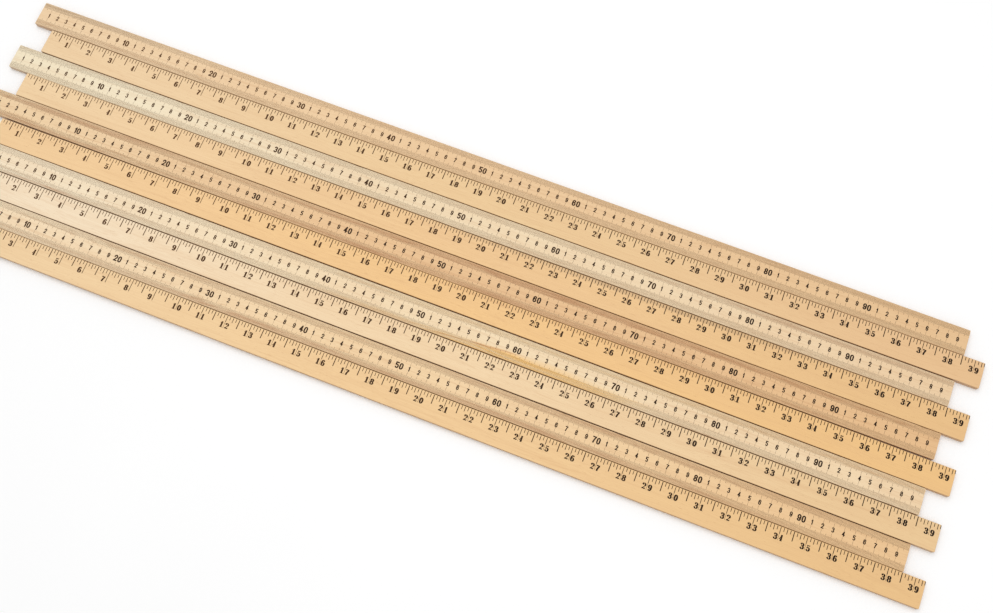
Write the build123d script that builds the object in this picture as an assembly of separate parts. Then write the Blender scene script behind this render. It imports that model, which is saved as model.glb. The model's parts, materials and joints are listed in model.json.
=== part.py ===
from build123d import *
import math
import os

# Ten loose wooden metre sticks laid side by side as one flat row.
#
# Each stick is one plain lath of hardwood: no hinge, rivet, end cap or hanging hole.
# Every other stick shows its centimetre face, and the ones between show their inch face.
#
# Units are millimetres. +X runs along the sticks from their zero ends, +Y runs across the
# row towards stick 1, and +Z is up. The origin is the middle of the row's footprint, on
# the surface that the sticks lie on.

# Driving dimensions of one stick.
STICK_LENGTH = 1000.0  # the scale starts at one end and stops at the other
STICK_WIDTH = 26.3
STICK_THICKNESS = 6.0
LONG_EDGE_RADIUS = 0.5  # the four long edges are sanded round
END_EDGE_BEVEL = 0.3  # the sawn ends are only broken with a light bevel

# How the row is laid out by hand, from stick 1 on the far side to stick 10 on the near side.
# How far each stick's zero end lies along +X from stick 1's zero end: the inch-up sticks
# are slid about 20 mm to the right, and each one is a little out.
ZERO_END_SHIFTS = [0.0, 21.0, -2.0, 20.0, -1.5, 20.5, -1.5, 20.5, -1.5, 20.0]
# Daylight between two neighbours, at the middle of their length.
GAPS = [0.5, 0.8, 0.6, 0.6, 0.8, 0.9, 0.9, 0.9, 0.5]
# How far each stick's far end is swung towards the near side, as the stick lies a
# few hundredths of a degree out of line.
FAR_END_SWINGS = [0.0, -0.1, 0.0, 0.25, 0.25, 0.3, 0.3, 0.3, 0.4, 0.5]

STICK_COUNT = len(ZERO_END_SHIFTS)
ROW_LEFT = min(ZERO_END_SHIFTS)
ROW_RIGHT = max(ZERO_END_SHIFTS) + STICK_LENGTH
ROW_DEPTH = STICK_COUNT * STICK_WIDTH + sum(GAPS)


def stick_name(number):
    """Name a stick by its place in the row and by the face that it shows."""
    face = "cm_up" if number % 2 else "inch_up"
    return f"stick_{number:02d}_{face}"


def make_lath():
    """One stick about its own centre, lying on Z = 0, with rounded long edges."""
    lath = Box(
        STICK_LENGTH,
        STICK_WIDTH,
        STICK_THICKNESS,
        align=(Align.CENTER, Align.CENTER, Align.MIN),
    )
    lath = fillet(lath.edges().filter_by(Axis.X), LONG_EDGE_RADIUS)
    end_faces = lath.faces().sort_by(Axis.X)
    end_edges = end_faces[0].edges() + end_faces[-1].edges()
    return chamfer(end_edges, END_EDGE_BEVEL)


def stick_place(number):
    """Where a stick lies in the row's frame: its centre and its small turn about +Z."""
    row_middle = (ROW_LEFT + ROW_RIGHT) / 2
    centre_x = ZERO_END_SHIFTS[number - 1] + STICK_LENGTH / 2 - row_middle
    sticks_and_gaps_before = (number - 1) * STICK_WIDTH + sum(GAPS[: number - 1])
    centre_y = ROW_DEPTH / 2 - STICK_WIDTH / 2 - sticks_and_gaps_before
    turn = -math.degrees(math.asin(FAR_END_SWINGS[number - 1] / (STICK_LENGTH / 2)))
    return centre_x, centre_y, turn


os.makedirs("parts", exist_ok=True)
lath = make_lath()
for number in range(1, STICK_COUNT + 1):
    centre_x, centre_y, turn = stick_place(number)
    stick = Pos(centre_x, centre_y, 0) * Rot(0, 0, turn) * lath
    name = stick_name(number)
    stick.label = name
    export_step(stick, f"parts/{name}.step")
    print(f"{name}: centre x {centre_x:.2f}, y {centre_y:.2f}, turned {turn:.3f} degrees")
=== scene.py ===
# %% [markdown]
# A row of ten loose wooden metre sticks, lying flat side by side on a pale table. Every
# other stick shows its centimetre face, and the ones between show their inch face. The CAD
# frame says where each plain lath is. This script gives each one its wood, its sanded edges
# and its printed scales, and keeps its size and its place to within a millimetre.

# %% Load the frame and keep its box
import json
import math
import random

import bpy
import numpy as np
from mathutils import Matrix, Vector


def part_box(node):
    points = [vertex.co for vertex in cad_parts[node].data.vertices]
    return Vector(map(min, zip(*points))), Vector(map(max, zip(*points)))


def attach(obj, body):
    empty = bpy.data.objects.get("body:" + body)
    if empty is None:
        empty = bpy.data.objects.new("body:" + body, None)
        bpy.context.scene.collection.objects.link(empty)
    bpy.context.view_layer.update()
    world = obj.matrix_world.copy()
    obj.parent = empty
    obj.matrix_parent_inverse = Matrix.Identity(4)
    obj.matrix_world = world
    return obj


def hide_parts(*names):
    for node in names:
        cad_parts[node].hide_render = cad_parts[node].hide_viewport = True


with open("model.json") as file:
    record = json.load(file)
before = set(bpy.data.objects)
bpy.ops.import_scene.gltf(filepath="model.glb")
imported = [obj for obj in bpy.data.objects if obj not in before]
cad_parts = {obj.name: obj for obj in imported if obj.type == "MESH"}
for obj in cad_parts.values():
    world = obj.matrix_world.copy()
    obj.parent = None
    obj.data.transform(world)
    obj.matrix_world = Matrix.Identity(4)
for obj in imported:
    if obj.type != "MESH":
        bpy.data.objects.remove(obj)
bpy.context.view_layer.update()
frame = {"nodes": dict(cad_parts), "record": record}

MM = 0.001  # the sizes of a stick are in millimetres, and the scene is in metres

# %% [markdown]
# The camera comes first, because everything after it is judged through it. A product table
# is usually seen from a tripod that looks almost straight down. A camera like that is
# easiest to state as an orbit: the point it looks at, how far round and how high it stands,
# and how far off. A long row seen from about a metre needs a slightly wide lens.

# %% The camera on its tripod
TARGET = Vector((0.0547, -0.0067, 0.006))
AROUND = 21.4  # degrees to the right of straight in front of the row
HEIGHT = 74.0  # degrees above the table
DISTANCE = 1.0493
ROLL = -0.38
LENS = 39.17
SENSOR_WIDTH = 36.0


def make_camera():
    around, height = math.radians(AROUND), math.radians(HEIGHT)
    outward = Vector(
        (
            math.sin(around) * math.cos(height),
            -math.cos(around) * math.cos(height),
            math.sin(height),
        )
    )
    data = bpy.data.cameras.new("table_camera")
    data.lens = LENS
    data.sensor_width = SENSOR_WIDTH
    camera = bpy.data.objects.new("table_camera", data)
    bpy.context.scene.collection.objects.link(camera)
    facing = outward.to_track_quat("Z", "Y").to_matrix()
    facing = facing @ Matrix.Rotation(math.radians(ROLL), 3, "Z")
    camera.matrix_world = Matrix.Translation(TARGET + outward * DISTANCE) @ facing.to_4x4()
    bpy.context.scene.camera = camera
    return camera


camera = make_camera()
print("camera at", tuple(round(value, 4) for value in camera.matrix_world.translation))

# %% [markdown]
# Node materials repeat the same few moves: add a node, join it, mix two colours, or turn a
# grey texture into a mask. A tiny wrapper round the node tree keeps each finish below short
# enough to read like a recipe.

# %% A small kit for node recipes
class Recipe:
    """A material's node tree with short calls for the nodes that wood and ink need."""

    def __init__(self, name):
        self.material = bpy.data.materials.new(name)
        self.material.use_nodes = True
        self.tree = self.material.node_tree
        self.shader = self.tree.nodes["Principled BSDF"]

    def node(self, kind, inputs=(), **settings):
        made = self.tree.nodes.new(kind)
        for key, value in settings.items():
            setattr(made, key, value)
        for socket, value in dict(inputs).items():
            self.feed(made.inputs[socket], value)
        return made

    def feed(self, socket, value):
        if isinstance(value, bpy.types.NodeSocket):
            self.tree.links.new(value, socket)
        else:
            socket.default_value = value

    def math(self, operation, a, b=0.0, clamp=False):
        made = self.node("ShaderNodeMath", {0: a, 1: b}, operation=operation, use_clamp=clamp)
        return made.outputs[0]

    def ramp(self, value, low, high, to_low=0.0, to_high=1.0):
        """Turn the stretch from low to high into a smooth rise between two values."""
        wanted = {"Value": value, "From Min": low, "From Max": high}
        wanted.update({"To Min": to_low, "To Max": to_high})
        made = self.node("ShaderNodeMapRange", wanted, interpolation_type="SMOOTHSTEP")
        return made.outputs["Result"]

    def mix(self, amount, a, b):
        made = self.node("ShaderNodeMix", data_type="RGBA")
        self.feed(made.inputs["Factor"], amount)
        self.feed(made.inputs[6], a)
        self.feed(made.inputs[7], b)
        return made.outputs[2]

    def noise(self, place, scale, detail=3.0, stretch=(1, 1, 1), shift=(0, 0, 0)):
        moved = {"Vector": place, "Location": shift, "Scale": stretch}
        spot = self.node("ShaderNodeMapping", moved)
        wanted = {"Vector": spot.outputs[0], "Scale": scale, "Detail": detail}
        return self.node("ShaderNodeTexNoise", wanted).outputs["Fac"]


def rgb(red, green, blue):
    """A colour as a paint chart gives it, 0 to 255, made linear for the shader."""
    channels = []
    for level in (red, green, blue):
        share = level / 255
        channels.append(share / 12.92 if share <= 0.04045 else ((share + 0.055) / 1.055) ** 2.4)
    return (*channels, 1.0)


print("a middle grey of 128 is", round(rgb(128, 128, 128)[0], 3), "in linear light")

# %% [markdown]
# The table is a pale sweep that should stay almost white while the wood keeps its colour.
# The light is a big soft panel high over the far left, a weaker one over the near right, and
# an even pale surround. Big panels give the soft, nearly shadowless look of a catalogue
# table, and they also keep the render quick and clean. The view transform is the plain one,
# so that a colour mixed in a material comes out as it was mixed.

# %% The pale table and the soft light
TABLE_SIDE = 6.0
TABLE_DROP = 0.05 * MM  # keeps the table top just clear of the undersides
SURROUND_STRENGTH = 0.65


def make_table():
    half = TABLE_SIDE / 2
    corners = [(-half, -half, 0), (half, -half, 0), (half, half, 0), (-half, half, 0)]
    mesh = bpy.data.meshes.new("table_top")
    mesh.from_pydata(corners, [], [(0, 1, 2, 3)])
    table = bpy.data.objects.new("table_top", mesh)
    table.location.z = -TABLE_DROP
    bpy.context.scene.collection.objects.link(table)
    recipe = Recipe("pale_table")
    place = recipe.node("ShaderNodeTexCoord").outputs["Object"]
    mottle = recipe.noise(place, 3.0)
    near_white = recipe.mix(mottle, rgb(252, 252, 252), rgb(255, 255, 255))
    recipe.feed(recipe.shader.inputs["Base Color"], near_white)
    recipe.shader.inputs["Roughness"].default_value = 0.7
    mesh.materials.append(recipe.material)
    return table


def make_panel(name, place, size, power):
    """A square soft light that faces the middle of the row."""
    data = bpy.data.lights.new(name, "AREA")
    data.shape = "SQUARE"
    data.size = size
    data.energy = power
    panel = bpy.data.objects.new(name, data)
    bpy.context.scene.collection.objects.link(panel)
    panel.location = place
    panel.rotation_euler = Vector(place).to_track_quat("Z", "Y").to_euler()
    return panel


def make_surround(strength):
    world = bpy.data.worlds.new("pale_surround")
    world.use_nodes = True
    background = world.node_tree.nodes["Background"]
    background.inputs["Color"].default_value = (1.0, 1.0, 1.0, 1.0)
    background.inputs["Strength"].default_value = strength
    bpy.context.scene.world = world


make_table()
make_panel("key_panel", place=(-0.5, 0.7, 2.2), size=1.8, power=18.3)
make_panel("fill_panel", place=(1.0, -0.4, 2.0), size=1.6, power=8.4)
make_surround(SURROUND_STRENGTH)
bpy.context.scene.view_settings.view_transform = "Standard"

# %% [markdown]
# Each stick gets its own small frame: its origin is the middle of the zero end, +X runs along
# it, and +Z points out of the centimetre face. In the row it is then only moved and turned by
# the hair that the CAD frame says, and rolled over about its length when its inch face is up.
# Work done in this small frame is done once, and both faces of every stick get it.

# %% Where each stick lies
class Stick:
    """One stick of the row: its number, its CAD node and body, and its place."""

    def __init__(self, body, node):
        self.body = body
        self.node = node
        self.number = int(body.split("_")[1])
        self.inch_up = node.endswith("inch_up")
        self.zero_end, self.far_end = self.end_middles()

    def end_middles(self):
        """The middles of the two sawn ends, from the corners of the CAD lath."""
        corners = np.array([vertex.co for vertex in frame["nodes"][self.node].data.vertices])
        middle = (corners[:, 0].min() + corners[:, 0].max()) / 2
        low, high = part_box(self.node)
        ends = []
        for chosen in (corners[corners[:, 0] < middle], corners[corners[:, 0] > middle]):
            y = (chosen[:, 1].min() + chosen[:, 1].max()) / 2
            ends.append(Vector((chosen[:, 0].mean(), y, (low.z + high.z) / 2)))
        return ends

    def matrix(self):
        along = (self.far_end - self.zero_end).normalized()
        turn = Matrix.Rotation(math.atan2(along.y, along.x), 4, "Z")
        middle = (self.zero_end + self.far_end) / 2
        start = middle - along * (LENGTH * MM / 2)
        roll = math.pi if self.inch_up else 0.0
        return Matrix.Translation(start) @ turn @ Matrix.Rotation(roll, 4, "X")


bodies = frame["record"]["behaviour"]["bodies"]
sticks = [Stick(body, nodes[0]) for body, nodes in sorted(bodies.items())]
first_low, first_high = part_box(sticks[0].node)
LENGTH, WIDTH, THICKNESS = (value / MM for value in first_high - first_low)
print(f"each stick is {LENGTH:.1f} x {WIDTH:.1f} x {THICKNESS:.1f} mm")

# %% [markdown]
# A real lath is not a perfect box. Its long edges are sanded round by hand, a little more
# here and less there, and each has been knocked a few times. Its sawn ends have a light
# bevel and slightly soft corners. The lath is made as a chain of cross-sections, one every
# few millimetres, so that the roundness of each corner can wander along the length. Two
# extra points beside every rounded corner keep the wide faces flat under smooth shading.
#
# Wood also moves as it dries, so some laths bow sideways by up to about a millimetre. That
# is what makes the dark gaps between them swell and narrow.

# %% The bow of one lath
# How far the middle of a lath bows towards the near side of the row, against its two ends.
BOWS = {3: -0.4, 5: 0.3, 6: -1.1, 7: -0.35, 8: -0.3, 10: 0.35}


def bow_offset(stick, stations):
    """How far the bowed centre line lies off the straight one, across the stick's own frame."""
    share = 2 * stations / LENGTH - 1
    towards_near = BOWS.get(stick.number, 0.0) * (1 / 3 - share**2)
    return towards_near if stick.inch_up else -towards_near


print("largest bow:", max(abs(bow) for bow in BOWS.values()), "mm")

# %% The body of one lath
SECTION_STEP = 2.5
EDGE_RADIUS = 0.5
EDGE_WANDER = 0.09
CORNER_STEPS = 6
FLAT_KEEPER = 0.12  # how far the keeper points stand in from a rounded corner
END_BEVEL = 0.2
END_CORNER = 0.8  # plan radius of the four upright corners
WAVES_PER_EDGE = 4
WAVE_LENGTHS = (40, 260)
KNOCKS_PER_EDGE = 7
KNOCK_SPREADS = (1.5, 5.0)
KNOCK_DEPTHS = (0.1, 0.5)
KNOCK_MARGIN = 5  # no knock sits nearer to an end
FIRST_SEED = 100
SHARP_ANGLE = 40  # degrees; an edge that turns by more stays crisp, as at the sawn ends


def corner_radii(stations, chance):
    """How round one long edge is at each station: a slow wander and a few soft knocks."""
    waves = []
    for _ in range(WAVES_PER_EDGE):
        waves.append((chance.uniform(*WAVE_LENGTHS), chance.uniform(0, math.tau)))
    radii = np.full(len(stations), EDGE_RADIUS)
    for length, phase in waves:
        radii += EDGE_WANDER / 2 * np.sin(stations / length * math.tau + phase)
    for _ in range(KNOCKS_PER_EDGE):
        place = chance.uniform(KNOCK_MARGIN, LENGTH - KNOCK_MARGIN)
        spread = chance.uniform(*KNOCK_SPREADS)
        radii += chance.uniform(*KNOCK_DEPTHS) * np.exp(-(((stations - place) / spread) ** 2))
    return radii


def lath_stations():
    """Distances along the stick of its cross-sections, closer together at the two ends."""
    near_end = np.array([0.0, 0.1, END_BEVEL, 0.4, END_CORNER, 2.0])
    first = near_end[-1] + SECTION_STEP
    middle = np.arange(first, LENGTH - first, SECTION_STEP)
    return np.concatenate([near_end, middle, (LENGTH - near_end)[::-1]])


def lath_points(stations, radii, offset):
    """All points of the lath, one ring for each station, in millimetres."""
    inward = np.minimum(stations, LENGTH - stations)
    turn = np.clip(END_CORNER - inward, 0, END_CORNER)
    half_width = WIDTH / 2 - (END_CORNER - np.sqrt(END_CORNER**2 - turn**2))
    half_height = THICKNESS / 2 - np.clip(END_BEVEL - inward, 0, END_BEVEL)
    rings = []
    for quarter, (side, lift) in enumerate([(1, 1), (-1, 1), (-1, -1), (1, -1)]):
        radius = radii[quarter]
        centre_y, centre_z = side * (half_width - radius), lift * (half_height - radius)
        angles = np.radians(90 * quarter + np.linspace(0, 90, CORNER_STEPS))
        first, last = angles[0], angles[-1]
        spots = [(first, -1)] + [(angle, 0) for angle in angles] + [(last, 1)]
        for angle, keeper in spots:
            along = keeper * FLAT_KEEPER
            y = offset + centre_y + radius * math.cos(angle) - along * math.sin(angle)
            z = centre_z + radius * math.sin(angle) + along * math.cos(angle)
            rings.append(np.stack([stations, y, z], axis=1))
    return np.stack(rings, axis=1)


def make_lath(stick):
    chance = random.Random(FIRST_SEED + stick.number)
    stations = lath_stations()
    radii = [corner_radii(stations, chance) for _ in range(4)]
    rings = lath_points(stations, radii, bow_offset(stick, stations))
    count, around = rings.shape[:2]
    faces = []
    for ring in range(count - 1):
        for spot in range(around):
            here, there = ring * around + spot, ring * around + (spot + 1) % around
            faces.append((here, here + around, there + around, there))
    faces.append(tuple(range(around)))
    faces.append(tuple(range(count * around - 1, (count - 1) * around - 1, -1)))
    mesh = bpy.data.meshes.new(f"stick_{stick.number:02d}_lath")
    mesh.from_pydata((rings.reshape(-1, 3) * MM).tolist(), [], faces)
    mesh.shade_smooth()
    mesh.set_sharp_from_angle(angle=math.radians(SHARP_ANGLE))
    return mesh


print("cross-sections in each lath:", len(lath_stations()))

# %% [markdown]
# The wood is a pale close-grained hardwood under a thin coat of varnish. Its look is built
# up in layers, from large to small: a tone that drifts from one end of the lath to the
# other, partly the wood's own and partly painted light that makes the zero end lighter and
# paler, broad cloudy patches, grain lines that run along the length and wander a little,
# fine fibre, and short dark flecks. Streaks of heartwood and honey-coloured wood are added
# one by one on the laths that have them. One edge is darkened on two laths: on stick 4 this
# is painted shade beside the gap, and on stick 1 it lies near the zero end. The sawn ends
# are a shade darker, because end grain drinks in more varnish and dirt. The long sides are
# darkened with painted shade, for side faces that sit in shadow.

# %% The tone and the streaks of each lath
# Each lath has its tone at the zero end, the middle and the far end, then how strong its
# grain is. The step from a lighter, paler zero end to a darker, warmer far end is partly
# painted light, standing in for the stronger light and sheen on the zero end.
WOOD_TONES_AND_PAINTED_LIGHT = {
    1: (rgb(238, 208, 167), rgb(232, 196, 149), rgb(230, 192, 144), 0.9),
    2: (rgb(238, 207, 163), rgb(232, 196, 143), rgb(231, 190, 140), 0.5),
    3: (rgb(243, 230, 199), rgb(237, 214, 176), rgb(236, 207, 167), 0.8),
    4: (rgb(240, 208, 162), rgb(235, 193, 136), rgb(232, 189, 130), 0.5),
    5: (rgb(239, 209, 166), rgb(229, 187, 136), rgb(228, 185, 134), 1.4),
    6: (rgb(242, 204, 152), rgb(239, 193, 128), rgb(237, 191, 126), 0.5),
    7: (rgb(246, 229, 198), rgb(241, 217, 177), rgb(240, 213, 173), 0.9),
    8: (rgb(246, 226, 195), rgb(239, 209, 165), rgb(233, 197, 145), 0.5),
    9: (rgb(246, 223, 187), rgb(240, 208, 161), rgb(235, 195, 143), 1.1),
    10: (rgb(242, 210, 163), rgb(239, 200, 144), rgb(232, 189, 129), 0.5),
}

# Three kinds of streak: heartwood, honey-coloured wood, and an edge darkening that is
# painted shade on stick 4. Each has its middle along the stick, its middle down from the
# edge, its half length, half width and slope, all in millimetres, and then its strength.
HEARTWOOD = {
    1: [(640, 3.0, 460, 3.6, 0.0, 0.10), (90, 22.5, 150, 3.0, 0.004, 0.06)],
    3: [(520, 24.5, 190, 2.6, -0.004, 0.06), (880, 3.5, 220, 3.0, 0.0, 0.20)],
    5: [
        (95, 3.0, 150, 3.4, -0.006, 0.36),
        (640, 3.4, 430, 3.6, 0.0, 0.44),
        (60, 24.0, 130, 2.6, 0.01, 0.26),
        (560, 24.0, 420, 3.2, 0.0, 0.34),
    ],
    6: [(352, 21.0, 10, 0.5, 0.05, 0.45), (640, 2.5, 300, 3.0, 0.0, 0.14)],
    7: [
        (566, 20.2, 62, 1.1, -0.086, 0.50),
        (470, 24.6, 110, 1.8, -0.01, 0.16),
        (690, 9.5, 130, 2.4, 0.02, 0.08),
        (100, 24.8, 70, 1.3, 0.0, 0.40),
        (900, 3.2, 160, 3.0, 0.0, 0.18),
    ],
    8: [(840, 13.0, 140, 4.0, -0.01, 0.14)],
    9: [
        (520, 24.0, 500, 3.4, 0.0, 0.36),
        (330, 3.0, 230, 2.0, 0.003, 0.13),
        (720, 3.0, 330, 3.2, 0.0, 0.24),
    ],
    10: [(640, 21.0, 60, 4.0, 0.0, 0.10), (120, 5.0, 120, 3.5, 0.0, 0.08)],
}
HONEY = {
    7: [
        (618, 23.4, 135, 7.4, -0.012, 0.85),
        (622, 18.6, 60, 4.0, -0.02, 0.42),
        (500, 24.6, 130, 4.0, 0.0, 0.30),
        (800, 3.0, 500, 4.0, 0.0, 0.20),
    ],
}
# Edge darkening: on stick 4 it is painted shade beside the gap next to its edge, and on stick 1
# it darkens one edge near the zero end.
EDGE_SHADE_AND_DARKENING = {1: [(60, 3.0, 120, 3.6, 0.0, 0.26)], 4: [(660, 1.5, 250, 4.0, 0.0, 0.32)]}
STREAK_KINDS = [
    (HONEY, rgb(240, 184, 92)),
    (HEARTWOOD, rgb(176, 98, 26)),
    (EDGE_SHADE_AND_DARKENING, rgb(120, 96, 76)),
]

# What each finer layer of the wood is tinted with.
CLOUD_TONE = rgb(222, 178, 128)
GRAIN_TONE = rgb(196, 146, 96)
FIBRE_TONE = rgb(208, 160, 110)
FLECK_TONE = rgb(176, 126, 80)
LATE_RING_TONE = rgb(158, 110, 66)
EARLY_RING_TONE = rgb(204, 160, 110)
PORE_TONE = rgb(128, 86, 50)
# The long sides get painted shade, darker for side faces that sit in shadow.
PAINTED_SIDE_SHADE = rgb(150, 104, 62)

VARNISH_WEIGHT = 0.12
VARNISH_ROUGHNESS = 0.3
GRAIN_DEPTH = 0.05 * MM

# The kind printed as dull is the edge darkening, painted shade on stick 4.
for kind, streaks in (("heartwood", HEARTWOOD), ("honey", HONEY), ("dull", EDGE_SHADE_AND_DARKENING)):
    print(kind, "streaks on each lath:", {number: len(rows) for number, rows in streaks.items()})

# %% The wood itself
def streak_mask(recipe, across, along, streak):
    """A soft long lens, 1 in its middle and 0 outside, sloping across the lath."""
    middle_x, from_edge, half_length, half_width, slope, strength = streak
    middle_y = WIDTH / 2 - from_edge
    run = recipe.math("SUBTRACT", along, middle_x * MM)
    drift = recipe.math("MULTIPLY", run, -slope)
    off = recipe.math("SUBTRACT", recipe.math("SUBTRACT", across, middle_y * MM), drift)
    far = recipe.math("DIVIDE", run, half_length * MM)
    wide = recipe.math("DIVIDE", off, half_width * MM)
    far_squared = recipe.math("MULTIPLY", far, far)
    reach = recipe.math("ADD", far_squared, recipe.math("MULTIPLY", wide, wide))
    return recipe.math("MULTIPLY", recipe.ramp(reach, 1.0, 0.0), strength)


def make_wood(stick):
    near, middle, far, grain = WOOD_TONES_AND_PAINTED_LIGHT[stick.number]
    recipe = Recipe(f"wood_of_stick_{stick.number:02d}")
    spot = recipe.node("ShaderNodeTexCoord")
    place = spot.outputs["Object"]
    parts = recipe.node("ShaderNodeSeparateXYZ", {0: place})
    along, across = parts.outputs["X"], parts.outputs["Y"]
    if stick.inch_up:
        across = recipe.math("MULTIPLY", across, -1.0)
    # Every lath takes its own stretch of the noise, so no two have the same grain.
    shift = (stick.number * 1.7, stick.number * 0.9, 0.0)

    # The tone drifts along the lath, partly as painted light that brightens the zero end,
    # with broad cloudy patches over it.
    half_way = LENGTH * MM / 2
    tone = recipe.mix(recipe.ramp(along, 0.0, half_way), near, middle)
    tone = recipe.mix(recipe.ramp(along, half_way, 2 * half_way), tone, far)
    clouds = recipe.noise(place, 9.0, 2.0, (1, 6, 6), shift)
    cloud_amount = recipe.ramp(clouds, 0.35, 0.7, 0.0, 0.16)
    tone = recipe.mix(cloud_amount, tone, CLOUD_TONE)

    # Grain lines: stretched noise whose place is bent a little by slower noise.
    bend = recipe.noise(place, 6.0, 1.0, (1, 4, 4), shift)
    slight = {0: (0.0, 0.02, 0.02), 1: bend}
    sway = recipe.node("ShaderNodeVectorMath", slight, operation="MULTIPLY")
    bent = recipe.node("ShaderNodeVectorMath", {0: place, 1: sway.outputs[0]}, operation="ADD")
    lines = recipe.noise(bent.outputs[0], 60.0, 4.0, (0.05, 9, 9), shift)
    line_amount = recipe.ramp(lines, 0.48, 0.72, 0.0, 0.30 * grain)
    tone = recipe.mix(line_amount, tone, GRAIN_TONE)
    fibre = recipe.noise(bent.outputs[0], 300.0, 3.0, (0.04, 8, 8), shift)
    fibre_amount = recipe.ramp(fibre, 0.35, 0.75, 0.0, 0.20)
    tone = recipe.mix(fibre_amount, tone, FIBRE_TONE)

    # Short dark flecks, long in the direction of the grain.
    fleck = recipe.noise(place, 420.0, 1.0, (0.35, 3.2, 3.2), shift)
    fleck_amount = recipe.ramp(fleck, 0.66, 0.76, 0.0, 0.35)
    tone = recipe.mix(fleck_amount, tone, FLECK_TONE)

    # Streaks show mostly in the grain lines.
    rough_lines = recipe.ramp(lines, 0.30, 0.62, 0.35, 1.0)
    for streaks, streak_tone in STREAK_KINDS:
        for streak in streaks.get(stick.number, []):
            mask = streak_mask(recipe, across, along, streak)
            shown = recipe.math("MULTIPLY", mask, rough_lines, clamp=True)
            tone = recipe.mix(shown, tone, streak_tone)

    # The sawn ends show growth rings and pores, and the long sides are darkened with painted
    # shade.
    normal = recipe.node("ShaderNodeSeparateXYZ", {0: spot.outputs["Normal"]})
    facing_end = recipe.math("ABSOLUTE", normal.outputs["X"])
    facing_side = recipe.math("ABSOLUTE", normal.outputs["Y"])
    pith_place = (0.0, stick.number * 0.004, 0.03)
    pith = recipe.node("ShaderNodeMapping", {"Vector": place, "Location": pith_place})
    wanted = {"Vector": pith.outputs[0], "Scale": 160.0}
    wanted.update({"Distortion": 2.0, "Detail": 2.0, "Detail Scale": 0.6})
    wave = recipe.node("ShaderNodeTexWave", wanted, wave_type="RINGS", rings_direction="X")
    pores = recipe.noise(place, 1500.0, 2.0, (1, 1, 1), shift)
    ring_tone = recipe.mix(wave.outputs["Fac"], LATE_RING_TONE, EARLY_RING_TONE)
    end_tone = recipe.mix(recipe.ramp(pores, 0.55, 0.75, 0.0, 0.5), ring_tone, PORE_TONE)
    tone = recipe.mix(recipe.ramp(facing_end, 0.6, 0.9, 0.0, 0.85), tone, end_tone)
    tone = recipe.mix(recipe.ramp(facing_side, 0.2, 0.9, 0.0, 0.55), tone, PAINTED_SIDE_SHADE)

    # The varnish is thin and satin, and the grain shows through it as a slight relief.
    recipe.feed(recipe.shader.inputs["Base Color"], tone)
    polish = recipe.ramp(fibre, 0.3, 0.8, 0.42, 0.56)
    recipe.feed(recipe.shader.inputs["Roughness"], polish)
    recipe.shader.inputs["Coat Weight"].default_value = VARNISH_WEIGHT
    recipe.shader.inputs["Coat Roughness"].default_value = VARNISH_ROUGHNESS
    height = recipe.mix(0.5, fibre, lines)
    relief = {"Strength": 0.25, "Distance": GRAIN_DEPTH, "Height": height}
    bump = recipe.node("ShaderNodeBump", relief)
    recipe.feed(recipe.shader.inputs["Normal"], bump.outputs["Normal"])
    return recipe.material


def place_piece(name, mesh, stick):
    """Lay a mesh made in the stick's own frame in its place in the row."""
    piece = bpy.data.objects.new(name, mesh)
    bpy.context.scene.collection.objects.link(piece)
    piece.matrix_world = stick.matrix()
    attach(piece, stick.body)
    return piece


for stick in sticks:
    mesh = make_lath(stick)
    mesh.materials.append(make_wood(stick))
    lath = place_piece(f"stick_{stick.number:02d}_lath", mesh, stick)
    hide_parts(stick.node)
print("laths:", len(sticks), "with", len(mesh.polygons), "faces each")

# %% [markdown]
# The scales are printed in a film of ink. On a flat face it could be an image, but an image
# blurs when the camera comes close, so here every line and numeral is its own thin slab of
# ink that sits on the wood. A numeral is drawn as a sign writer draws it, in strokes. The
# pen is an ellipse: a stroke is as wide as the pen is across it. A nearly round pen gives
# even, plain block numerals, and a broad pen held flat gives the thick stems and hairline
# joins of old book numerals. The strokes of one numeral are then joined into one solid.

# %% Pen strokes
INK_BELOW = 0.015  # how far the ink sinks into the wood
INK_ABOVE = 0.020  # how far it stands out
BEND_STEPS = 17  # points on each curved stretch


def bend(middle_x, middle_y, reach_x, reach_y, start, stop):
    """Points on a stretch of an ellipse, with angles in degrees from the right, leftwards."""
    angles = np.radians(np.linspace(start, stop, BEND_STEPS))
    return [
        (middle_x + reach_x * math.cos(a), middle_y + reach_y * math.sin(a)) for a in angles
    ]


def pen_stroke(path, thick, thin, closed=False):
    """Points and faces of one stroke of the pen: thick where it runs upright, thin where flat."""
    spine = np.array(path, float)
    if closed:
        heading = np.roll(spine, -1, axis=0) - np.roll(spine, 1, axis=0)
    else:
        heading = np.gradient(spine, axis=0)
    heading /= np.linalg.norm(heading, axis=1)[:, None]
    if not closed:
        # The pen reaches half its own size past both ends of the path.
        reach = np.hypot(thick * heading[:, :1], thin * heading[:, 1:]) / 2 * heading
        spine[0] -= reach[0]
        spine[-1] += reach[-1]
    half = np.hypot(thick * heading[:, 1], thin * heading[:, 0]) / 2
    aside = np.stack([-heading[:, 1], heading[:, 0]], axis=1) * half[:, None]
    left, right = spine + aside, spine - aside
    count = len(spine)
    points = []
    for height in (-INK_BELOW, INK_ABOVE):
        for line in (left, right):
            points += [(x, y, height) for x, y in line]
    low_left, low_right, top_left, top_right = (k * count for k in range(4))
    faces = []
    for here in range(count if closed else count - 1):
        there = (here + 1) % count
        faces.append((top_right + here, top_right + there, top_left + there, top_left + here))
        faces.append((low_left + here, low_left + there, low_right + there, low_right + here))
        faces.append((top_left + here, top_left + there, low_left + there, low_left + here))
        faces.append((low_right + here, low_right + there, top_right + there, top_right + here))
    if not closed:
        faces.append((low_left, low_right, top_right, top_left))
        last = count - 1
        faces.append((top_left + last, top_right + last, low_right + last, low_left + last))
    return points, faces


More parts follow.
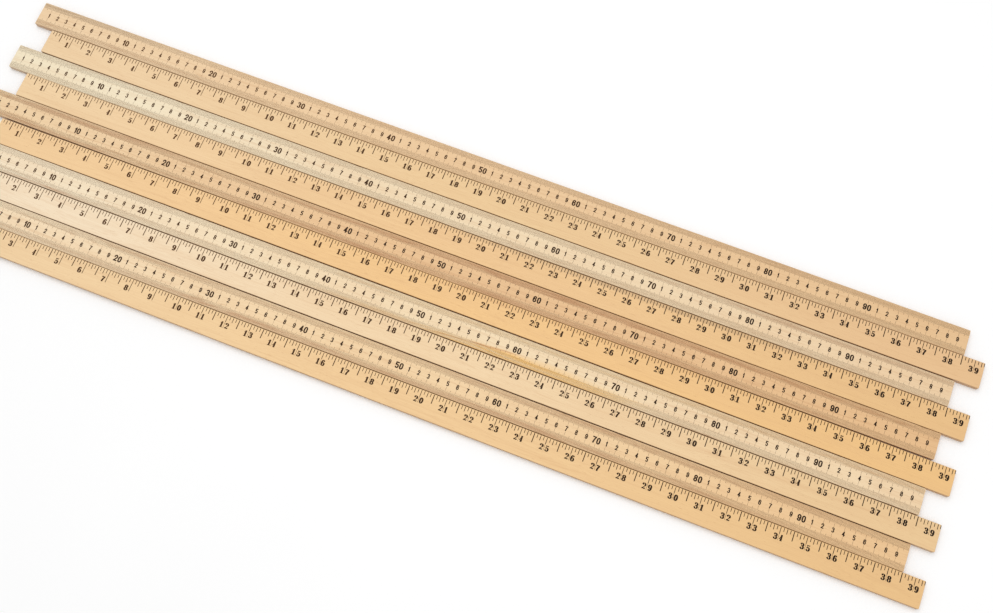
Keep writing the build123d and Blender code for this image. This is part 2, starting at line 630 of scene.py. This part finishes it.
def filled_disc(rim):
    """Points and faces of a flat round slab inside a rim, for the ball ends of numerals."""
    count = len(rim)
    points = [(x, y, height) for height in (-INK_BELOW, INK_ABOVE) for x, y in rim]
    faces = [tuple(reversed(range(count))), tuple(range(count, 2 * count))]
    for here in range(count):
        there = (here + 1) % count
        faces.append((here, there, there + count, here + count))
    return points, faces


print("faces of one straight stroke:", len(pen_stroke([(0, 0), (0, 5)], 1.0, 1.0)[1]))

def half_turned(strokes, width, height):
    """The same strokes turned upside down within their box, which makes a 9 from a 6."""
    turned = []
    for path, closed, pen in strokes:
        turned.append(([(width - x, height - y) for x, y in path], closed, pen))
    return turned


# %% [markdown]
# The centimetre face has plain, narrow block numerals: small ones for every centimetre and
# big bold ones for every ten. Each is a few straight lines and half ellipses in a box.

# %% Block numerals for the centimetre face
def block_numeral(digit, w, h):
    """Strokes of one narrow block numeral whose centre lines fill a w by h box."""
    r = w / 2
    q = min(0.7 * w, 0.3 * h)
    if digit == 0:
        ring = bend(r, h - q, r, q, 180, 0) + bend(r, q, r, q, 0, -180)
        return [(ring, True, None)]
    if digit == 1:
        flag = [(r * 0.7, h * 0.88), (0, h * 0.76)]
        return [([(r, 0), (r, h)], False, None), (flag, False, None)]
    if digit == 2:
        sweep = bend(r, h - q, r, q, 175, -20) + [(0.62 * w, 0.36 * h), (0.04 * w, 0.02 * h)]
        return [(sweep, False, None), ([(0, 0), (w, 0)], False, None)]
    if digit == 3:
        upper = bend(r * 0.95, 0.76 * h, r * 0.95, 0.24 * h, 155, -72)
        lower = bend(r, 0.26 * h, r, 0.26 * h, 72, -152)
        return [(upper, False, None), (lower, False, None)]
    if digit == 4:
        slope = [(0.62 * w, 0.9 * h), (0.05 * w, 0.3 * h)]
        return [
            (slope, False, None),
            ([(0, 0.26 * h), (1.08 * w, 0.26 * h)], False, None),
            ([(0.72 * w, h), (0.72 * w, 0)], False, None),
        ]
    if digit == 5:
        bowl = bend(r, 0.31 * h, r, 0.31 * h, 122, -142)
        return [
            ([(0.95 * w, h), (0.08 * w, h)], False, None),
            ([(0.1 * w, h), (0.05 * w, 0.58 * h)], False, None),
            (bowl, False, None),
        ]
    if digit == 6:
        ring = bend(r, 0.3 * h, r, 0.3 * h, 180, -166)
        back = [(0, 0.3 * h)] + bend(r, h - q, r, q, 180, 20)
        return [(ring, True, None), (back, False, None)]
    if digit == 7:
        slope = [(0.92 * w, 0.9 * h), (0.55 * w, 0.5 * h), (0.32 * w, 0)]
        return [([(0, h), (w, h)], False, None), (slope, False, None)]
    if digit == 8:
        upper = bend(r, 0.76 * h, 0.9 * r, 0.24 * h, 90, -256)
        lower = bend(r, 0.26 * h, r, 0.26 * h, 90, -256)
        return [(upper, True, None), (lower, True, None)]
    return half_turned(block_numeral(6, w, h), w, h)


print("strokes of the block numerals:", [len(block_numeral(digit, 2, 4)) for digit in range(10)])

# %% [markdown]
# The inch face has book numerals with strong stems, thin joins, small slab feet and round
# ball ends. A pair of numbers after a path fixes the pen for that stroke alone, and a ball is
# a rim that is filled instead of followed with the pen.

# %% Book numerals for the inch face
def ball(x, y, size):
    """A round ball end: only its rim is given, and `joined` fills it."""
    return (bend(x, y, size / 2, size / 2, -180, 152), "filled", None)


def book_numeral(digit, w, h):
    """Strokes of one book numeral with stress on its uprights, in a w by h box."""
    r = w / 2
    foot = (0.08 * h, 0.08 * h)
    if digit == 0:
        return [(bend(r, h / 2, r, h / 2, 90, -256), True, None)]
    if digit == 1:
        flag = [(0.5 * w, 0.96 * h), (0.1 * w, 0.84 * h), (-0.35 * w, 0.8 * h)]
        return [
            ([(r, 0), (r, h)], False, None),
            (flag, False, (0.1 * h, 0.1 * h)),
            ([(-0.4 * w, 0), (1.4 * w, 0)], False, foot),
        ]
    if digit == 2:
        sweep = bend(r, 0.73 * h, r, 0.27 * h, 165, -25)
        tail = [sweep[-1], (0.6 * w, 0.36 * h), (0.2 * w, 0.17 * h), (0.02 * w, 0.03 * h)]
        wave = [(0.02 * w, 0.06 * h), (0.3 * w, 0.1 * h)]
        wave += [(0.65 * w, 0.05 * h), (0.95 * w, 0.07 * h)]
        tip = [(0.95 * w, 0.05 * h), (1.02 * w, 0.22 * h)]
        return [
            (sweep, False, None),
            (tail, False, (0.14 * h, 0.14 * h)),
            (wave, False, (0.2 * h, 0.2 * h)),
            (tip, False, foot),
            ball(0.14 * w, 0.76 * h, 0.24 * h),
        ]
    if digit == 3:
        upper = bend(0.46 * w, 0.76 * h, 0.46 * w, 0.24 * h, 160, -90)
        lower = bend(r, 0.26 * h, r, 0.26 * h, 90, -160)
        return [
            (upper, False, None),
            (lower, False, None),
            ball(0.12 * w, 0.8 * h, 0.23 * h),
            ball(0.1 * w, 0.2 * h, 0.24 * h),
        ]
    if digit == 4:
        hair = (0.09 * h, 0.09 * h)
        return [
            ([(0.7 * w, h), (0, 0.27 * h)], False, hair),
            ([(0, 0.27 * h), (1.05 * w, 0.27 * h)], False, hair),
            ([(0.7 * w, 0), (0.7 * w, h)], False, None),
            ([(0.35 * w, 0), (1.05 * w, 0)], False, foot),
        ]
    if digit == 5:
        flag = [(0.1 * w, 0.95 * h), (0.5 * w, 0.93 * h), (0.9 * w, 0.96 * h)]
        return [
            (flag, False, (0.17 * h, 0.17 * h)),
            ([(0.13 * w, h), (0.1 * w, 0.5 * h)], False, foot),
            (bend(r, 0.31 * h, r, 0.31 * h, 128, -152), False, None),
            ball(0.12 * w, 0.17 * h, 0.22 * h),
        ]
    if digit == 6:
        back = bend(1.05 * r, 0.5 * h, 1.05 * r, 0.5 * h, 60, 190)
        ring = bend(r, 0.3 * h, r, 0.3 * h, 90, -256)
        return [(back, False, None), (ring, True, None), ball(0.82 * w, 0.86 * h, 0.22 * h)]
    if digit == 7:
        wave = [(0.03 * w, 0.93 * h), (0.35 * w, 0.95 * h)]
        wave += [(0.7 * w, 0.9 * h), (0.98 * w, 0.95 * h)]
        slope = [(0.92 * w, 0.84 * h), (0.62 * w, 0.55 * h)]
        slope += [(0.42 * w, 0.25 * h), (0.4 * w, 0.02 * h)]
        return [
            (wave, False, (0.19 * h, 0.19 * h)),
            ([(0.02 * w, h), (0.0, 0.78 * h)], False, foot),
            (slope, False, None),
        ]
    if digit == 8:
        upper = bend(r, 0.76 * h, 0.88 * r, 0.24 * h, 90, -256)
        lower = bend(r, 0.26 * h, r, 0.26 * h, 90, -256)
        return [(upper, True, None), (lower, True, None)]
    return half_turned(book_numeral(6, w, h), w, h)


print("strokes of the book numerals:", [len(book_numeral(digit, 3, 5)) for digit in range(10)])

# %% [markdown]
# Joining the strokes of a numeral is a job for the Boolean modifier, which leaves one closed
# skin with nothing inside it. The numerals are joined once, at millimetre size, where the
# solver is at its safest, and copied from then on.

# %% Join the strokes of each numeral once
def mesh_object(name, points, faces):
    mesh = bpy.data.meshes.new(name)
    mesh.from_pydata(points, [], faces)
    made = bpy.data.objects.new(name, mesh)
    bpy.context.scene.collection.objects.link(made)
    return made


def joined(strokes, thick, thin):
    """One closed solid, as points and faces, from all the strokes of a numeral."""
    pieces = []
    for path, closed, pen in strokes:
        if closed == "filled":
            points, faces = filled_disc(path)
        else:
            points, faces = pen_stroke(path, *(pen or (thick, thin)), closed)
        pieces.append(mesh_object("stroke", points, faces))
    first = pieces[0]
    for other in pieces[1:]:
        union = first.modifiers.new("join", "BOOLEAN")
        union.operation = "UNION"
        union.solver = "EXACT"
        union.use_self = True
        union.object = other
    bpy.context.view_layer.update()
    solid = first.evaluated_get(bpy.context.evaluated_depsgraph_get()).to_mesh()
    points = np.array([v.co for v in solid.vertices])
    faces = [tuple(p.vertices) for p in solid.polygons]
    for piece in pieces:
        bpy.data.objects.remove(piece)
    return points, faces


NARROW_ONE = 0.7  # how wide a 1 is, against the other numerals


def numeral_set(draw, width, height, thick, thin):
    """All ten numerals of one style, each with its points, faces and true width."""
    made = []
    for digit in range(10):
        narrow = NARROW_ONE if digit == 1 else 1.0
        inner_width = (width - thick) * narrow
        points, faces = joined(draw(digit, inner_width, height - thin), thick, thin)
        points[:, 0] -= points[:, 0].min()
        points[:, 1] -= points[:, 1].min()
        made.append((points, faces, points[:, 0].max()))
    return made


small_block = numeral_set(block_numeral, width=2.7, height=4.9, thick=1.0, thin=0.88)
big_block = numeral_set(block_numeral, width=3.8, height=6.5, thick=1.4, thin=1.2)
book = numeral_set(book_numeral, width=4.1, height=5.9, thick=1.7, thin=0.7)
print("faces of the book numerals 0 to 9:", [len(faces) for _, faces, _ in book])

# %% [markdown]
# A printed face is gathered mark by mark: `bar` adds one straight line, and `number` adds
# one row of numerals. Places are counted from the zero end and from the edge that is at the
# top when the face is read. The whole print of a face becomes one mesh, because on the real
# stick it is rolled on in one pass.

# %% Gather the marks of one face
EDGE_GAP = 0.5  # the print starts where the edge stops being round


class Print:
    """The ink of one face: thin slabs, gathered in millimetres."""

    def __init__(self):
        self.points = []
        self.faces = []
        self.total = 0

    def add(self, points, faces, along, from_edge):
        moved = np.array(points) + (along, WIDTH / 2 - from_edge, THICKNESS / 2)
        self.points.append(moved)
        self.faces += [tuple(corner + self.total for corner in face) for face in faces]
        self.total += len(moved)

    def bar(self, along, width, near, far):
        """A line across the stick from near to far, counted down from the top edge."""
        a, b = -width / 2, width / 2
        flat = [(a, near - far), (b, near - far), (b, 0.0), (a, 0.0)]
        points = [(x, y, -INK_BELOW) for x, y in flat] + [(x, y, INK_ABOVE) for x, y in flat]
        walls = [(k, (k + 1) % 4, (k + 1) % 4 + 4, k + 4) for k in range(4)]
        self.add(points, [(3, 2, 1, 0), (4, 5, 6, 7)] + walls, along, near)

    def number(self, style, digits, left, foot, gap=0.0):
        """Numerals side by side from the place `left`, standing on the line `foot`."""
        for digit in digits:
            points, faces, width = style[digit]
            self.add(points, faces, left, foot)
            left += width + gap

    def mesh(self, name, stick, turned_over):
        points = np.concatenate(self.points)
        if turned_over:
            points = points * (1, -1, -1)
        points[:, 1] += bow_offset(stick, points[:, 0])
        made = bpy.data.meshes.new(name)
        made.from_pydata((points * MM).tolist(), [], self.faces)
        return made


def row_width(style, digits, gap):
    return sum(style[digit][2] for digit in digits) + gap * (len(digits) - 1)


print("a big 10 is", round(row_width(big_block, [1, 0], 0.5), 2), "mm wide")

# %% [markdown]
# The centimetre face carries a millimetre scale along both edges, so that it reads from
# either side. Every fifth millimetre line is a little longer. The centimetre lines run
# right across and stop only for their numeral: one digit for each centimetre, and the big
# tens. There is no number at either end.

# %% The centimetre face
MILLIMETRE_LINE = (0.21, 6.3)  # width and reach from the edge
FIFTH_LINE = (0.23, 7.7)
CENTIMETRE_WIDTH = 0.18
SMALL_FOOT = 15.45
BIG_FOOT = 16.5
SMALL_GAP = (10.2, 16.0)  # where a centimetre line breaks for a small numeral
BIG_GAP = (9.5, 17.0)
BIG_SPACING = 0.5


def centimetre_face():
    ink = Print()
    for millimetre in range(1, int(LENGTH)):
        if millimetre % 10 == 0:
            width, (reach, resume) = CENTIMETRE_WIDTH, SMALL_GAP if millimetre % 100 else BIG_GAP
        else:
            width, reach = FIFTH_LINE if millimetre % 5 == 0 else MILLIMETRE_LINE
            resume = WIDTH - reach
        ink.bar(millimetre, width, EDGE_GAP, reach)
        ink.bar(millimetre, width, resume, WIDTH - EDGE_GAP)
    for centimetre in range(1, 100):
        if centimetre % 10:
            style, digits, foot = small_block, [centimetre % 10], SMALL_FOOT
        else:
            style, digits, foot = big_block, [centimetre // 10, 0], BIG_FOOT
        left = centimetre * 10 - row_width(style, digits, BIG_SPACING) / 2
        ink.number(style, digits, left, foot, BIG_SPACING)
    return ink


centimetre_ink = centimetre_face()
print("centimetre face:", len(centimetre_ink.points), "marks")

# %% [markdown]
# The inch face is divided in eighths along one edge only. Halves are longer and a little
# heavier than quarters, and quarters longer than eighths. The inch line runs down beside a
# single numeral, or as a hairline between the two digits of a larger one. A metre ends a
# hair before 39 and three eighths, so that last line is drawn just inside the end.

# %% The inch face
INCH = 25.4
EIGHTH_LINE = (0.62, 4.1)  # width and reach from the edge, as above
QUARTER_LINE = (0.64, 5.4)
HALF_LINE = (0.84, 9.7)
INCH_LINE = (0.6, 12.9)
INCH_LINE_ABOVE_TWO_DIGITS = (0.62, 7.0)
HAIRLINE = (0.26, 13.3)
BOOK_FOOT = 13.2
BESIDE_LINE = 1.7  # from a single numeral to its inch line
ASTRIDE_LINE = 0.8  # from each digit of a pair to the hairline between them


def inch_face():
    ink = Print()
    eighths = math.ceil(LENGTH / INCH * 8)
    for eighth in range(1, eighths + 1):
        inches = eighth // 8
        if eighth % 8 == 0:
            width, reach = INCH_LINE if inches < 10 else INCH_LINE_ABOVE_TWO_DIGITS
        elif eighth % 4 == 0:
            width, reach = HALF_LINE
        else:
            width, reach = QUARTER_LINE if eighth % 2 == 0 else EIGHTH_LINE
        place = min(eighth * INCH / 8, LENGTH - END_BEVEL - width / 2)
        ink.bar(place, width, EDGE_GAP, reach)
        if eighth % 8 == 0 and inches >= 10:
            ink.bar(place, HAIRLINE[0], reach, HAIRLINE[1])
    for inches in range(1, int(LENGTH / INCH) + 1):
        place = inches * INCH
        if inches < 10:
            ink.number(book, [inches], place - BESIDE_LINE - book[inches][2], BOOK_FOOT)
        else:
            tens, units = inches // 10, inches % 10
            ink.number(book, [tens], place - ASTRIDE_LINE - book[tens][2], BOOK_FOOT)
            ink.number(book, [units], place + ASTRIDE_LINE, BOOK_FOOT)
    return ink


inch_ink = inch_face()
print("inch face:", len(inch_ink.points), "marks")

# %% [markdown]
# Printing ink on varnished wood is a warm near-black with a dull surface. It is never quite
# even: it is thin where the roller pressed less, and where hands have rubbed it.

# %% The ink and the two prints of every stick
# How far the ink is lightened towards the wood at each stick's zero end; the lightening
# fades out smoothly towards the far end.
INK_LIGHTER_AT_ZERO_END = {1: 0.3, 2: 0.3, 3: 0.2, 4: 0.3, 5: 0.1, 6: 0.25, 7: 0.2, 8: 0.25, 9: 0.1, 10: 0.2}
INK_TONE = rgb(36, 22, 10)
THIN_INK_TONE = rgb(150, 100, 56)


def make_ink(stick):
    recipe = Recipe(f"ink_of_stick_{stick.number:02d}")
    place = recipe.node("ShaderNodeTexCoord").outputs["Object"]
    along = recipe.node("ShaderNodeSeparateXYZ", {0: place}).outputs["X"]
    shift = (stick.number * 0.7, 0.0, 0.0)
    patches = recipe.noise(place, 22.0, 2.0, (1, 2, 2), shift)
    rubbed = recipe.noise(place, 900.0, 3.0, (0.4, 1.6, 1.6), shift)
    # The ink is lighter towards the zero end, and the patches are where the roller pressed less.
    zero_end_lightening = recipe.ramp(along, LENGTH * MM, 0.0, 0.0, INK_LIGHTER_AT_ZERO_END[stick.number])
    thinned = recipe.math("ADD", zero_end_lightening, recipe.ramp(patches, 0.4, 0.75, 0.0, 0.06))
    speck = recipe.ramp(rubbed, 0.58, 0.8, 0.0, 0.2)
    thin = recipe.math("ADD", thinned, speck, clamp=True)
    colour = recipe.mix(thin, INK_TONE, THIN_INK_TONE)
    recipe.feed(recipe.shader.inputs["Base Color"], colour)
    recipe.feed(recipe.shader.inputs["Roughness"], recipe.ramp(rubbed, 0.3, 0.8, 0.6, 0.8))
    recipe.shader.inputs["Specular IOR Level"].default_value = 0.15
    return recipe.material


prints = {"cm": centimetre_ink, "inch": inch_ink}
for stick in sticks:
    ink_finish = make_ink(stick)
    for face, ink in prints.items():
        name = f"stick_{stick.number:02d}_{face}_print"
        mesh = ink.mesh(name, stick, turned_over=face == "inch")
        mesh.materials.append(ink_finish)
        place_piece(name, mesh, stick)
print("prints:", len(sticks) * len(prints), "on", len(sticks), "sticks")

# %% [markdown]
# Last, the scene is brought up to date.

# %% Bring the scene up to date
bpy.context.view_layer.update()
